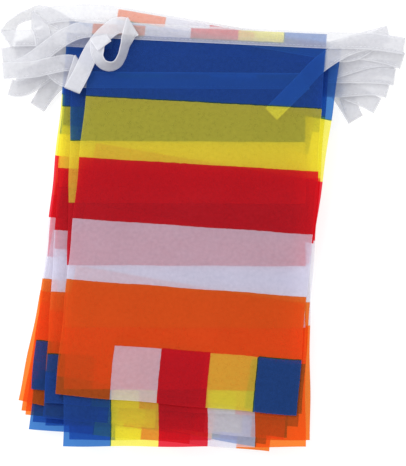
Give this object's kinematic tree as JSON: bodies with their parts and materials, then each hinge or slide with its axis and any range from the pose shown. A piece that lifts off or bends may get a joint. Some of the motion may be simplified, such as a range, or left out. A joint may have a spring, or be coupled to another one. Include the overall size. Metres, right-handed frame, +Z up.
{
  "type": "five-colour buddhist flag string",
  "caption": "Folded string of sheer striped flags sewn to one white tape, laid back and forth in a stack with loops of spare tape at both sides.",
  "frame": {"origin": "middle of the bottom of the folded stack", "axes": "+Z up from the surface it lies on, +Y towards the tape, X across the flags"},
  "size_m": [0.2346, 0.259, 0.0374],
  "materials": {
    "flag_cloth": "sheer printed polyester, five colour bands",
    "tape_cloth": "white woven binding tape, folded lengthwise"
  },
  "bodies": {
    "root": {"flag_01": "flag_cloth", "flag_02": "flag_cloth", "flag_03": "flag_cloth", "flag_04": "flag_cloth", "flag_05": "flag_cloth", "flag_06": "flag_cloth", "flag_07": "flag_cloth", "flag_08": "flag_cloth", "flag_09": "flag_cloth", "flag_10": "flag_cloth", "flag_11": "flag_cloth", "flag_12": "flag_cloth", "flag_13": "flag_cloth", "flag_14": "flag_cloth", "flag_15": "flag_cloth", "flag_16": "flag_cloth", "tape": "tape_cloth"}
  },
  "joints": []
}
